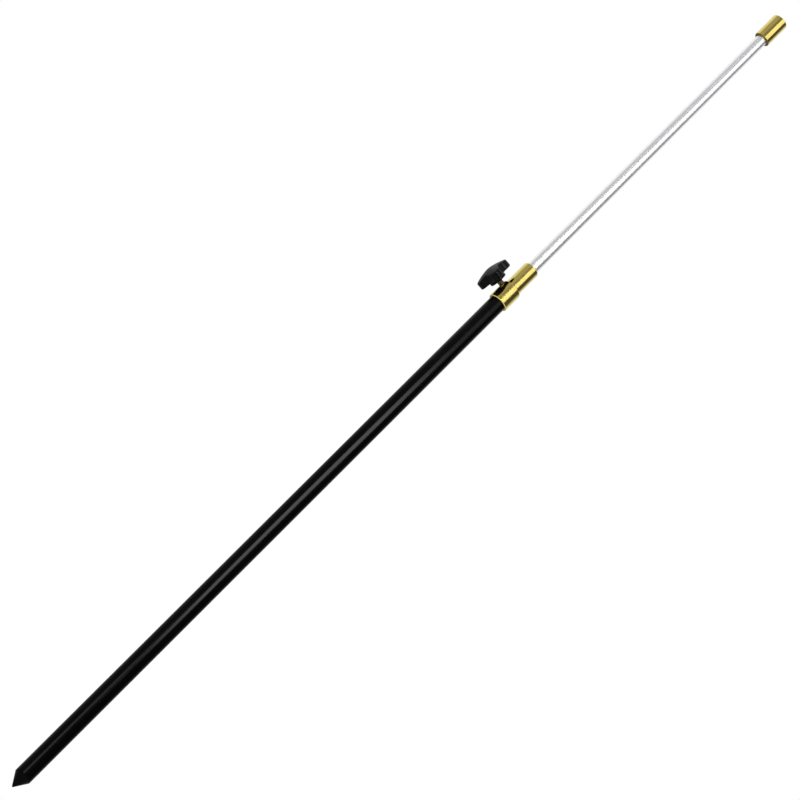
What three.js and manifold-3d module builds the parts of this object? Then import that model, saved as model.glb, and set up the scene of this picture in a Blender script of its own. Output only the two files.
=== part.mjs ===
// Telescopic bank stick: a black tube with a ground point, a stepped brass clamp collar with a
// four-lobed clamp screw, and a bright inner rod that carries a threaded brass socket.
// Millimetres, +Z up. The origin is the tip of the ground point, on the stick's own axis,
// and the clamp screw points along -X.
import * as THREE from 'three';
import { mergeVertices } from 'three/addons/utils/BufferGeometryUtils.js';
import Module from 'manifold-3d';

const wasm = await Module();
wasm.setup();

// Clearances shared by the pieces
const press_gap = 0.15; // all round a piece that is pressed or glued into another
const butt_gap = 0.2; // between two ends or shoulders that meet
const running_gap = 0.25; // all round a piece that slides or turns in another
const cut_overrun = 2; // how far a cutting tool runs past the face it breaks through

// Outer tube
const tube_diameter = 16;
const tube_wall = 1.5;
const tube_length = 612.9;
const tube_edge = 0.3; // deburred corners at both ends

// Ground point, a turned plug with a cone
const point_cone_length = 12.9;
const point_nose_radius = 0.8; // the blunt tip
const point_plug_length = 24;
const point_plug_lead = 1.2; // lead-in chamfer that starts the plug in the tube
const point_groove_depth = 0.5; // glue grooves round the plug
const point_groove_width = 2.4;
const point_groove_pitch = 9;
const point_groove_count = 2;

// Clamp collar
const collar_diameter = 19;
const collar_body_length = 19.4;
const collar_neck_diameter = 15.4;
const collar_neck_length = 27.3;
const collar_seat_depth = 10.4; // how much of the tube the collar takes in
const collar_lip_chamfer = 0.6;
const collar_shoulder_chamfer = 0.4;
const collar_neck_chamfer = 0.9;
const collar_mouth_chamfer = 0.6; // inside the bore's upper end
const collar_screw_height = 15.4; // screw axis above the collar's lower end

// Clamp screw, moulded into the knob by its knurled head
const screw_diameter = 6;
const screw_hole_gap = 0.15; // all round the screw in its tapped hole
const screw_end_chamfer = 0.7;
const screw_grip_gap = 0.3; // between the screw's end and the rod
const screw_head_diameter = 9;
const screw_head_length = 4.5;
const screw_head_edge = 0.4;

// Clamp knob, distances along its axis
const knob_radius = 16.7; // over two opposite lobes
const knob_lobe_count = 4;
const knob_lobe_radius = 6; // round end of a lobe
const knob_waist_radius = 11; // at the bottom of a finger recess
const knob_hub_diameter = 16.4;
const knob_hub_length = 3.5; // from the hub's end face to the underside of the lobes
const knob_rim_height = 6.6; // side of a lobe, from its underside to the crown
const knob_crown_height = 4.2; // from the rim to the top of the crown
const knob_crown_exponent = 1.4; // 1 would be a cone, 2 a round cap
const knob_edge_radius = 0.7;
const knob_stand_off = 4.1; // clear screw between the collar and the hub
const knob_screw_depth = 9; // how deep the screw sits in the knob
const knob_rest_turn_deg = -17; // as the clamp was left

// Inner rod
const rod_diameter = 11;
const rod_wall = 1.5;
const rod_edge = 0.25;
const rod_shown_length = 326; // between the collar and the socket, as photographed
const rod_reserve = 55.7; // how much further the rod draws out before its guide meets the collar

// Rod guide, a moulded bush on the rod's lower end that runs in the tube
const guide_length = 10;
const guide_stem_length = 14;
const guide_edge = 0.8;
const guide_band_width = 2.5; // raised running bands at both ends
const guide_waist_depth = 0.6; // relief between the bands

// Threaded top socket
const socket_diameter = 15.4;
const socket_length = 27.7;
const socket_rod_depth = 12.6;
const socket_thread_depth = 12.5;
const socket_thread_diameter = 8.5; // tapping size of the accessory thread
const socket_thread_chamfer = 0.6;
const socket_drill_point_length = 2; // cone left by the drill
const socket_end_chamfer = 0.7;

// Fineness of the round faces
const turned_segments = 48;
const screw_segments = 32;
const lobe_steps = 10;
const recess_steps = 6;
const edge_steps = 3;
const nose_steps = 5;
const crown_shares = [0.86, 0.7, 0.54, 0.38, 0.23, 0.1]; // rings of the crown, as shares of its outline

// Heights of the pieces, from the tip up
const tube_bottom = point_cone_length + butt_gap;
const tube_top = tube_bottom + tube_length;
const collar_bottom = tube_top - collar_seat_depth;
const collar_shoulder = collar_bottom + collar_body_length;
const collar_top = collar_shoulder + collar_neck_length;
const screw_height = collar_bottom + collar_screw_height;
const socket_bottom = collar_top + rod_shown_length;
const rod_top = socket_bottom + socket_rod_depth - butt_gap;
const collar_seat_top = tube_top + butt_gap;
const guide_top = collar_seat_top - rod_reserve;
const rod_bottom = guide_top + butt_gap;

// Radii that follow from the diameters, walls and clearances
const tube_radius = tube_diameter / 2;
const tube_bore_radius = tube_radius - tube_wall;
const rod_radius = rod_diameter / 2;
const rod_bore_radius = rod_radius - rod_wall;
const collar_radius = collar_diameter / 2;
const screw_radius = screw_diameter / 2;

// Black powder coat, polished brass, bright drawn aluminium and moulded plastics
const black_coat = new THREE.MeshStandardMaterial({ color: '#101010', roughness: 0.35, metalness: 0.1 });
const black_point = new THREE.MeshStandardMaterial({ color: '#0d0d0d', roughness: 0.4, metalness: 0.1 });
const brass = new THREE.MeshStandardMaterial({ color: '#cdb455', roughness: 0.16, metalness: 1 });
const screw_brass = new THREE.MeshStandardMaterial({ color: '#c2a746', roughness: 0.24, metalness: 1 });
const socket_brass = new THREE.MeshStandardMaterial({ color: '#d0b658', roughness: 0.16, metalness: 1 });
const bright_rod = new THREE.MeshStandardMaterial({ color: '#d6d8da', roughness: 0.14, metalness: 1 });
const black_knob = new THREE.MeshStandardMaterial({ color: '#151515', roughness: 0.5, metalness: 0 });
const nylon = new THREE.MeshStandardMaterial({ color: '#1c1c1e', roughness: 0.6, metalness: 0 });

// A turned solid about Z. The profile lists radius and height, with the material on its left
// as it is walked: up the outside and down the bore or the axis.
function turned(profile, segments = turned_segments) {
  const points = profile.map(([radius, height]) => new THREE.Vector2(radius, height));
  const on_axis = profile[0][0] === 0 && profile.at(-1)[0] === 0;
  if (!on_axis) points.push(points[0].clone());
  return new THREE.LatheGeometry(points, segments).rotateX(Math.PI / 2);
}

// Points of a circular arc, both ends included
function arc(centre_x, centre_y, radius, from, to, steps) {
  return Array.from({ length: steps + 1 }, (_, i) => {
    const angle = from + ((to - from) * i) / steps;
    return [centre_x + radius * Math.cos(angle), centre_y + radius * Math.sin(angle)];
  });
}

function solidOf(geometry) {
  const bare = geometry.clone();
  bare.deleteAttribute('normal');
  bare.deleteAttribute('uv');
  const merged = mergeVertices(bare);
  const mesh = new wasm.Mesh({
    numProp: 3,
    vertProperties: Float32Array.from(merged.attributes.position.array),
    triVerts: Uint32Array.from(merged.index.array),
  });
  return new wasm.Manifold(mesh);
}

function geometryOf(solid) {
  const { vertProperties, triVerts } = solid.getMesh();
  const geometry = new THREE.BufferGeometry();
  geometry.setAttribute('position', new THREE.Float32BufferAttribute(vertProperties, 3));
  geometry.setIndex(new THREE.BufferAttribute(triVerts, 1));
  geometry.computeVertexNormals();
  return geometry;
}

// Ground point: cone, shoulder that the tube butts on, and a grooved plug glued into the tube
function groundPoint() {
  const rim_height = point_cone_length - tube_edge;
  const cone_angle = Math.atan2(tube_radius, rim_height);
  const plug_radius = tube_bore_radius - press_gap;
  const groove_radius = plug_radius - point_groove_depth;
  const plug_top = point_cone_length + point_plug_length;
  const nose = arc(0, point_nose_radius, point_nose_radius, -Math.PI / 2, -cone_angle, nose_steps);
  const profile = [
    [0, 0],
    ...nose.slice(1),
    [tube_radius, rim_height],
    [tube_radius - tube_edge, point_cone_length],
    [plug_radius, point_cone_length],
  ];
  for (let i = 0; i < point_groove_count; i += 1) {
    const start = point_cone_length + point_groove_pitch * i + point_groove_width;
    profile.push(
      [plug_radius, start],
      [groove_radius, start + point_groove_depth],
      [groove_radius, start + point_groove_width - point_groove_depth],
      [plug_radius, start + point_groove_width],
    );
  }
  profile.push([plug_radius, plug_top - point_plug_lead]);
  profile.push([plug_radius - point_plug_lead, plug_top], [0, plug_top]);
  return turned(profile);
}

// A length of round tube with broken corners
function roundTube(outer_radius, bore_radius, bottom, top, edge) {
  return turned([
    [bore_radius + edge, bottom],
    [outer_radius - edge, bottom],
    [outer_radius, bottom + edge],
    [outer_radius, top - edge],
    [outer_radius - edge, top],
    [bore_radius + edge, top],
    [bore_radius, top - edge],
    [bore_radius, bottom + edge],
  ]);
}

// Clamp collar: a wide body over the tube, a neck round the rod, and the tapped cross hole
function clampCollar() {
  const seat_radius = tube_radius + press_gap;
  const neck_radius = collar_neck_diameter / 2;
  const bore_radius = rod_radius + running_gap;
  const body = turned([
    [seat_radius, collar_bottom],
    [collar_radius - collar_lip_chamfer, collar_bottom],
    [collar_radius, collar_bottom + collar_lip_chamfer],
    [collar_radius, collar_shoulder - collar_shoulder_chamfer],
    [collar_radius - collar_shoulder_chamfer, collar_shoulder],
    [neck_radius, collar_shoulder],
    [neck_radius, collar_top - collar_neck_chamfer],
    [neck_radius - collar_neck_chamfer, collar_top],
    [bore_radius + collar_mouth_chamfer, collar_top],
    [bore_radius, collar_top - collar_mouth_chamfer],
    [bore_radius, collar_seat_top],
    [seat_radius, collar_seat_top],
  ]);
  const hole_length = collar_radius + cut_overrun;
  const hole = new THREE.CylinderGeometry(
    screw_radius + screw_hole_gap,
    screw_radius + screw_hole_gap,
    hole_length,
    screw_segments,
  );
  hole.rotateZ(Math.PI / 2).translate(-hole_length / 2, 0, screw_height);
  return geometryOf(solidOf(body).subtract(solidOf(hole)));
}

// Distances from the stick's axis along the clamp screw
const screw_tip = rod_radius + screw_grip_gap;
const knob_bottom = collar_radius + knob_stand_off;
const screw_end = knob_bottom + knob_screw_depth;
const screw_head_bottom = screw_end - screw_head_length;
const lobe_bottom = knob_bottom + knob_hub_length;
const crown_rim = lobe_bottom + knob_rim_height;

// Clamp screw, with the head that the knob is moulded round
function clampScrew() {
  const head_radius = screw_head_diameter / 2;
  return turned([
    [0, screw_tip],
    [screw_radius - screw_end_chamfer, screw_tip],
    [screw_radius, screw_tip + screw_end_chamfer],
    [screw_radius, screw_head_bottom],
    [head_radius - screw_head_edge, screw_head_bottom],
    [head_radius, screw_head_bottom + screw_head_edge],
    [head_radius, screw_end - screw_head_edge],
    [head_radius - screw_head_edge, screw_end],
    [0, screw_end],
  ], screw_segments);
}

// Outline of the lobes, moved inwards by inset. Lobe ends and finger recesses are arcs that
// meet smoothly, so a smaller outline keeps the same centres.
function lobedOutline(inset) {
  const half_step = Math.PI / knob_lobe_count;
  const lobe_centre = knob_radius - knob_lobe_radius;
  const spread = 2 * lobe_centre * Math.cos(half_step);
  const recess_radius = (knob_lobe_radius ** 2 - knob_waist_radius ** 2 - lobe_centre ** 2
    + spread * knob_waist_radius) / (2 * knob_waist_radius - spread - 2 * knob_lobe_radius);
  const recess_centre = knob_waist_radius + recess_radius;
  const recess_x = recess_centre * Math.cos(half_step);
  const recess_y = recess_centre * Math.sin(half_step);
  const join = Math.atan2(recess_y, recess_x - lobe_centre);
  const lobe = arc(lobe_centre, 0, knob_lobe_radius - inset, -join, join, lobe_steps);
  const recess = arc(recess_x, recess_y, recess_radius + inset, join + Math.PI,
    2 * half_step - join + Math.PI, recess_steps);
  const one_lobe = [...lobe, ...recess.slice(1, -1)];
  const outline = [];
  for (let i = 0; i < knob_lobe_count; i += 1) {
    const turn = 2 * half_step * i;
    for (const [x, y] of one_lobe) {
      outline.push([x * Math.cos(turn) - y * Math.sin(turn), x * Math.sin(turn) + y * Math.cos(turn)]);
    }
  }
  return outline;
}

// Height of the crown at a distance from the knob's axis
function crownHeight(radius) {
  return crown_rim + knob_crown_height * (1 - (radius / knob_radius) ** knob_crown_exponent);
}

// A closed solid through rings of equally many points, listed from the bottom up, and closed
// at a middle point below and above
function loftedRings(rings, bottom_height, top_height) {
  const count = rings[0].length;
  const vertices = [[0, 0, bottom_height], ...rings.flat(), [0, 0, top_height]];
  const top_middle = vertices.length - 1;
  const index = [];
  for (let i = 0; i < count; i += 1) {
    const next = (i + 1) % count;
    index.push(0, 1 + next, 1 + i);
    for (let r = 0; r + 1 < rings.length; r += 1) {
      const low = 1 + r * count;
      const high = low + count;
      index.push(low + i, low + next, high + next, low + i, high + next, high + i);
    }
    const last = 1 + (rings.length - 1) * count;
    index.push(last + i, last + next, top_middle);
  }
  const geometry = new THREE.BufferGeometry();
  geometry.setAttribute('position', new THREE.Float32BufferAttribute(vertices.flat(), 3));
  geometry.setIndex(index);
  return geometry;
}

// The lobed part of the knob: rolled lower edge, upright side, rolled upper edge that follows
// the crown, and the crown itself, which is turned about the knob's axis
function lobedBody() {
  const quarter = Array.from({ length: edge_steps + 1 }, (_, i) => ((Math.PI / 2) * i) / edge_steps);
  const lower_edge = quarter.map((angle) => {
    const height = lobe_bottom + knob_edge_radius * (1 - Math.cos(angle));
    return lobedOutline(knob_edge_radius * (1 - Math.sin(angle))).map(([x, y]) => [x, y, height]);
  });
  const upper_edge = quarter.map((angle) => {
    const drop = knob_edge_radius * (1 - Math.sin(angle));
    const outline = lobedOutline(knob_edge_radius * (1 - Math.cos(angle)));
    return outline.map(([x, y]) => [x, y, crownHeight(Math.hypot(x, y)) - drop]);
  });
  const crown = crown_shares.map((share) => lobedOutline(knob_edge_radius).map(
    ([x, y]) => [x * share, y * share, crownHeight(Math.hypot(x, y) * share)],
  ));
  return loftedRings([...lower_edge, ...upper_edge, ...crown], lobe_bottom, crownHeight(0));
}

// Clamp knob: the lobed body on a round hub, hollow where the screw and its head sit
function clampKnob() {
  const hub_radius = knob_hub_diameter / 2;
  const hub_top = lobe_bottom + knob_edge_radius;
  const neck_radius = screw_radius + press_gap;
  const pocket_radius = screw_head_diameter / 2 + press_gap;
  const hub = turned([
    [0, knob_bottom],
    [hub_radius - knob_edge_radius, knob_bottom],
    ...arc(hub_radius - knob_edge_radius, knob_bottom + knob_edge_radius, knob_edge_radius,
      -Math.PI / 2, 0, edge_steps).slice(1),
    [hub_radius, hub_top],
    [0, hub_top],
  ]);
  const pocket = turned([
    [0, knob_bottom - cut_overrun],
    [neck_radius, knob_bottom - cut_overrun],
    [neck_radius, screw_head_bottom - press_gap],
    [pocket_radius, screw_head_bottom - press_gap],
    [pocket_radius, screw_end + press_gap],
    [0, screw_end + press_gap],
  ], screw_segments);
  return geometryOf(solidOf(lobedBody()).add(solidOf(hub)).subtract(solidOf(pocket)));
}

// Rod guide: a flange with two running bands below the rod, and a stem inside it
function rodGuide() {
  const band_radius = tube_bore_radius - running_gap;
  const waist_radius = band_radius - guide_waist_depth;
  const stem_radius = rod_bore_radius - running_gap;
  const bottom = guide_top - guide_length;
  const stem_top = guide_top + guide_stem_length;
  return turned([
    [0, bottom],
    [band_radius - guide_edge, bottom],
    [band_radius, bottom + guide_edge],
    [band_radius, bottom + guide_band_width],
    [waist_radius, bottom + guide_band_width + guide_waist_depth],
    [waist_radius, guide_top - guide_band_width - guide_waist_depth],
    [band_radius, guide_top - guide_band_width],
    [band_radius, guide_top],
    [stem_radius, guide_top],
    [stem_radius, stem_top - guide_edge],
    [stem_radius - guide_edge, stem_top],
    [0, stem_top],
  ]);
}

// Top socket: bored from below for the rod and from above for a threaded accessory
function topSocket() {
  const radius = socket_diameter / 2;
  const top = socket_bottom + socket_length;
  const rod_seat_radius = rod_radius + press_gap;
  const thread_radius = socket_thread_diameter / 2;
  const rod_seat_top = socket_bottom + socket_rod_depth;
  const thread_bottom = top - socket_thread_depth;
  const body = turned([
    [0, rod_seat_top],
    [rod_seat_radius, rod_seat_top],
    [rod_seat_radius, socket_bottom],
    [radius - socket_end_chamfer, socket_bottom],
    [radius, socket_bottom + socket_end_chamfer],
    [radius, top - socket_end_chamfer],
    [radius - socket_end_chamfer, top],
    [thread_radius + socket_thread_chamfer, top],
    [thread_radius, top - socket_thread_chamfer],
    [thread_radius, thread_bottom],
    [0, thread_bottom - socket_drill_point_length],
  ]);
  return body;
}

function piece(name, geometry, material) {
  const mesh = new THREE.Mesh(geometry, material);
  mesh.name = name;
  return mesh;
}

const tube = roundTube(tube_radius, tube_bore_radius, tube_bottom, tube_top, tube_edge);
const rod = roundTube(rod_radius, rod_bore_radius, rod_bottom, rod_top, rod_edge);

// The clamp screw and its knob are made along +Z and turned to point along -X
const clamp = new THREE.Group();
clamp.position.z = screw_height;
clamp.rotation.y = -Math.PI / 2;
const knob = piece('clamp_knob', clampKnob(), black_knob);
knob.rotation.z = THREE.MathUtils.degToRad(knob_rest_turn_deg);
clamp.add(piece('clamp_screw', clampScrew(), screw_brass), knob);

const bank_stick = new THREE.Group();
bank_stick.add(
  piece('ground_point', groundPoint(), black_point),
  piece('outer_tube', tube, black_coat),
  piece('clamp_collar', clampCollar(), brass),
  clamp,
  piece('rod_guide', rodGuide(), nylon),
  piece('inner_rod', rod, bright_rod),
  piece('top_socket', topSocket(), socket_brass),
);

export default bank_stick;
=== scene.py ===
"""Bank stick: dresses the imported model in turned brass, black coat and bright tube, and lights it."""
import math

import bpy
from bpy.props import FloatProperty, FloatVectorProperty, IntProperty, PointerProperty
from bpy.types import Operator, Panel, PropertyGroup
from mathutils import Matrix, Vector


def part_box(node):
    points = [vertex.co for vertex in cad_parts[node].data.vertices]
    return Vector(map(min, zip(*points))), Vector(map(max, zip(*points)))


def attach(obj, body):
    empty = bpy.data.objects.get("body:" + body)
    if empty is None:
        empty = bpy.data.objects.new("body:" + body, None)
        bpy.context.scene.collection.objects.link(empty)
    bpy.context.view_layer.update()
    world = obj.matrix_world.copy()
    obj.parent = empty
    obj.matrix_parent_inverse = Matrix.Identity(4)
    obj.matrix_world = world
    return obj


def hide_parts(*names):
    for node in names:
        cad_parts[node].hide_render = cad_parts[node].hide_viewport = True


bl_info = {
    "name": "Bank stick",
    "version": (1, 0, 0),
    "blender": (4, 5, 0),
    "location": "3D View > Sidebar > Bank Stick",
    "description": "Builds a telescopic bank stick piece by piece, with its studio",
    "category": "Add Mesh",
}

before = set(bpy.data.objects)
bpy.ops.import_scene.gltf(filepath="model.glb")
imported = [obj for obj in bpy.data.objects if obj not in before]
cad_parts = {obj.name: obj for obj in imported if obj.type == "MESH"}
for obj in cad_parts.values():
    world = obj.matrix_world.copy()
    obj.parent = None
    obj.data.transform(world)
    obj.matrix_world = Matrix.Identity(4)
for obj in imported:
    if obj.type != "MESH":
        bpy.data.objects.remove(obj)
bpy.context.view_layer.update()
MM = 0.001
# A point this near the turning axis lies on it, in millimetres
ON_AXIS = 1e-6
# Points nearer than this are welded, in metres
WELD = 0.002 * MM


# Sizes and colours a user would change

def linear(code):
    """Linear RGBA of an sRGB hex colour."""
    channels = [int(code[i:i + 2], 16) / 255 for i in (1, 3, 5)]
    return tuple(c / 12.92 if c <= 0.04045 else ((c + 0.055) / 1.055) ** 2.4 for c in channels) + (1.0,)


def length(name, description, millimetres):
    """A length property, given in millimetres and kept in metres."""
    return FloatProperty(name=name, description=description, default=millimetres * MM, min=0.0,
                         unit="LENGTH", precision=5)


def colour(name, description, code):
    """A colour property from an sRGB hex value."""
    return FloatVectorProperty(name=name, description=description, default=linear(code)[:3], size=3,
                               min=0.0, max=1.0, subtype="COLOR")


class StickSizes(PropertyGroup):
    """Sizes of the turned and moulded pieces that the frame's boxes don't give."""
    tube_wall: length("Tube wall", "Wall of the outer tube", 1.5)
    rod_wall: length("Rod wall", "Wall of the inner rod", 1.5)
    tube_edge: length("Tube edge", "Rounding of the outer tube's cut ends", 0.3)
    rod_edge: length("Rod edge", "Rounding of the inner rod's cut ends", 0.25)
    press_gap: length("Press gap", "Clearance round a pressed or glued piece", 0.15)
    running_gap: length("Running gap", "Clearance round the sliding rod", 0.25)
    butt_gap: length("Butt gap", "Clearance between two faces that meet", 0.2)
    broken_edge: length("Broken edge", "Rounding of a turned brass edge", 0.12)
    bore_mouth: length("Bore mouth", "Chamfer at the mouth of a brass bore", 0.6)
    nose: length("Nose radius", "Blunt tip of the ground point", 0.8)
    shoulder: length("Shoulder", "Short straight part between the cone and the tube", 0.3)
    shoulder_round: length("Shoulder radius", "Rounding from the cone to its shoulder", 0.5)
    groove_depth: length("Groove depth", "Grip groove in the ground point's plug", 0.5)
    groove_width: length("Groove width", "Grip groove in the ground point's plug", 2.4)
    groove_pitch: length("Groove pitch", "From one grip groove to the next", 9)
    plug_lead: length("Plug lead", "Chamfer that leads the plug into the tube", 1.2)
    neck_diameter: length("Neck diameter", "Upper, narrow part of the clamp collar", 15.4)
    neck_length: length("Neck length", "Upper, narrow part of the clamp collar", 27.3)
    collar_lip: length("Lip chamfer", "Lower edge of the clamp collar", 0.6)
    collar_shoulder: length("Shoulder chamfer", "Step of the clamp collar", 0.4)
    collar_nose: length("Neck chamfer", "Upper edge of the clamp collar", 0.9)
    screw_diameter: length("Screw diameter", "Over the crests of the screw's thread", 6)
    screw_pitch: length("Screw pitch", "One turn of the clamp screw", 1)
    screw_chamfer: length("Screw chamfer", "End of the screw that presses on the rod", 0.7)
    screw_head: length("Screw head", "Diameter of the screw's head inside the knob", 9)
    screw_head_length: length("Head length", "Length of the head inside the knob", 4.5)
    screw_head_edge: length("Head chamfer", "Both edges of the head inside the knob", 0.4)
    knob_radius: length("Knob radius", "From the knob's axis to the end of a lobe", 16.7)
    lobe_radius: length("Lobe radius", "Round end of a lobe", 6)
    waist_radius: length("Waist radius", "From the knob's axis to the bottom of a finger recess", 11)
    hub_diameter: length("Hub diameter", "Round hub under the lobes", 16.4)
    hub_length: length("Hub length", "From the hub's face to the lobes", 3.5)
    hub_fillet: length("Hub fillet", "Where the hub runs into the lobes", 0.7)
    rim_height: length("Rim height", "Upright side of a lobe", 6.6)
    crown_height: length("Crown height", "From the rim to the top of the crown", 4.2)
    knob_edge: length("Knob edge", "Rounded edges of the moulding", 0.7)
    socket_thread: length("Socket thread", "Diameter of the hole before its thread is cut", 8.5)
    socket_pitch: length("Socket pitch", "One turn of the accessory thread", 1.27)
    socket_cut: length("Thread depth", "How far the accessory thread is cut into the hole's wall", 0.5)
    socket_hole: length("Hole depth", "Threaded hole in the top socket", 12.5)
    socket_edge: length("Socket chamfer", "Both ends of the top socket", 0.7)
    lobes: IntProperty(name="Lobes", description="Number of lobes round the knob",
                       default=4, min=3, max=8)
    crown_curve: FloatProperty(name="Crown curve", description="1 falls as a cone, 2 as a dome",
                               default=1.4, min=1.0, max=4.0)
    rest_turn: FloatProperty(name="Rest turn", description="Turn of the knob in the photograph",
                             default=math.radians(-17), subtype="ANGLE")


class StickFinishes(PropertyGroup):
    """Colours of the finishes."""
    brass: colour("Turned brass", "Collar and socket", "#e2ce74")
    stud: colour("Screw brass", "Clamp screw, duller than the collar", "#8c8662")
    coat: colour("Black coat", "Outer tube and ground point", "#040404")
    knob: colour("Knob plastic", "Clamp knob", "#070708")
    rod: colour("Bright tube", "Inner rod", "#f7f7f8")
    guide: colour("Guide plastic", "Rod guide", "#222224")


class StudioSettings(PropertyGroup):
    """Camera, floor and light."""
    floor: colour("Floor", "Plain pale floor", "#e9e9e7")
    fill: FloatProperty(name="Fill", description="Plain light from all round", default=0.65, min=0.0)
    key: FloatProperty(name="Key", description="Power of the main lamp", default=27.0, min=0.0,
                       unit="POWER")
    lens: FloatProperty(name="Lens", description="Focal length in millimetres", default=180.0, min=50.0,
                        unit="CAMERA")


class BankStickSettings(PropertyGroup):
    """All settings of the bank stick."""
    sizes: PointerProperty(type=StickSizes)
    finishes: PointerProperty(type=StickFinishes)
    studio: PointerProperty(type=StudioSettings)


def chosen(context):
    """The sizes and the finishes that stand in the sidebar."""
    settings = context.scene.bank_stick
    return settings.sizes, settings.finishes


# Node trees

# Sockets of a Mix node that mixes colours: its two inputs and its output
COLOUR_A, COLOUR_B, COLOUR_OUT = 6, 7, 2
# Socket of a Compare node: how far two numbers may lie apart and still be called equal
EPSILON = 12
WHITE = (1.0, 1.0, 1.0, 1.0)


def add_node(tree, kind, inputs=None, **settings):
    """Adds one node with its settings, and sets or links each of its inputs. A whole node given for an
    input is linked by its first output."""
    node = tree.nodes.new(kind)
    for name, value in settings.items():
        setattr(node, name, value)
    for key, value in (inputs or {}).items():
        if isinstance(value, bpy.types.Node):
            value = value.outputs[0]
        if isinstance(value, bpy.types.NodeSocket):
            tree.links.new(value, node.inputs[key])
        else:
            node.inputs[key].default_value = value
    return node


def toned(base, red=1.0, green=None, blue=None):
    """Linear RGBA of a colour whose channels are scaled, all by the first share or each by its own."""
    shares = (red, red if green is None else green, red if blue is None else blue)
    return tuple(c * s for c, s in zip(base, shares)) + (1.0,)


def new_material(name):
    """An empty material and its tree."""
    material = bpy.data.materials.new(name)
    material.use_nodes = True
    material.node_tree.nodes.clear()
    return material, material.node_tree


def object_millimetres(tree, scale=(1.0, 1.0, 1.0), offset=(0.0, 0.0, 0.0)):
    """Object coordinates in millimetres, moved and stretched for a pattern."""
    place = add_node(tree, "ShaderNodeTexCoord").outputs["Object"]
    mapped = add_node(tree, "ShaderNodeMapping", {
        "Vector": place,
        "Location": tuple(o * s for o, s in zip(offset, scale)),
        "Scale": tuple(s / MM for s in scale),
    }, vector_type="POINT")
    return mapped


def round_axis(tree, axis, offset=(0.0, 0.0, 0.0)):
    """Millimetres from a turning axis and along it, the two that a lathe tool's marks follow."""
    place = add_node(tree, "ShaderNodeSeparateXYZ", {"Vector": object_millimetres(tree, offset=offset)})
    across = [name for name in "XYZ" if name != axis]
    out = add_node(tree, "ShaderNodeCombineXYZ", {
        "X": place.outputs[across[0]], "Y": place.outputs[across[1]]})
    radius = add_node(tree, "ShaderNodeVectorMath", {0: out}, operation="LENGTH")
    return radius.outputs["Value"], place.outputs[axis]


def finish_surface(tree, shader):
    """Ends a material's tree in its shader."""
    add_node(tree, "ShaderNodeOutputMaterial", {"Surface": shader})


def turned_brass(name, base, axis="Z", offset=(0.0, 0.0, 0.0), roughness=0.13, roots=None, shaded_end=None):
    """Brass, turned on a lathe and polished: yellow, mirror bright across, with faint rings from the tool
    that stretch its highlights along the piece, and a little dull where hands and grit reach it.
    A thread's roots, from one radius to another, are darkened with painted shade. A band at the lower
    end, from one height to another, is darkened brown with painted shade and made rougher."""
    material, tree = new_material(name)
    radius, along = round_axis(tree, axis, offset)
    rings = add_node(tree, "ShaderNodeCombineXYZ", {"X": radius, "Y": along})
    # The feed of the tool is about 0.1 mm a turn, drawn at 0.5 mm, so that it shows
    feed = add_node(tree, "ShaderNodeTexNoise", {
        "Vector": rings, "Scale": 1 / 0.5, "Detail": 3.0, "Roughness": 0.6},
        noise_dimensions="2D")
    # Tarnish in soft patches about 9 mm across
    tarnish = add_node(tree, "ShaderNodeTexNoise", {
        "Vector": object_millimetres(tree), "Scale": 1 / 9, "Detail": 4.0, "Roughness": 0.55})
    patch = add_node(tree, "ShaderNodeMapRange", {
        "Value": tarnish, "From Min": 0.4, "From Max": 0.75, "To Min": 0.0, "To Max": 0.3})
    tint = add_node(tree, "ShaderNodeMix", {
        "Factor": patch, COLOUR_A: toned(base), COLOUR_B: toned(base, 0.86, 0.8, 0.66)},
        data_type="RGBA").outputs[COLOUR_OUT]
    polish = add_node(tree, "ShaderNodeMapRange", {
        "Value": feed, "From Min": 0.25, "From Max": 0.75,
        "To Min": roughness - 0.03, "To Max": roughness + 0.05})
    if roots is not None:
        # Painted shade: the roots of the thread are darkened to 0.45 of the brass's colour
        crest = add_node(tree, "ShaderNodeMapRange", {
            "Value": radius, "From Min": roots[0], "From Max": roots[1]},
            interpolation_type="SMOOTHSTEP")
        tint = add_node(tree, "ShaderNodeMix", {
            "Factor": crest, COLOUR_A: toned(base, 0.45), COLOUR_B: tint},
            data_type="RGBA").outputs[COLOUR_OUT]
    if shaded_end is not None:
        # Painted shade: a band at the lower end is darkened brown, to about a quarter of the brass's
        # colour, and made rougher
        end = add_node(tree, "ShaderNodeMapRange", {
            "Value": along, "From Min": shaded_end[0], "From Max": shaded_end[1], "To Min": 1.0, "To Max": 0.0},
            interpolation_type="SMOOTHSTEP")
        tint = add_node(tree, "ShaderNodeMix", {
            "Factor": end, COLOUR_A: tint, COLOUR_B: toned(base, 0.27, 0.25, 0.25)},
            data_type="RGBA").outputs[COLOUR_OUT]
        polish = add_node(tree, "ShaderNodeMath", {
            0: end, 1: 0.25, 2: polish}, operation="MULTIPLY_ADD")
    bump = add_node(tree, "ShaderNodeBump", {
        "Height": feed, "Strength": 0.035, "Distance": 0.006 * MM})
    finish_surface(tree, add_node(tree, "ShaderNodeBsdfPrincipled", {
        "Base Color": tint, "Metallic": 1.0, "Roughness": polish, "Normal": bump}))
    return material


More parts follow.
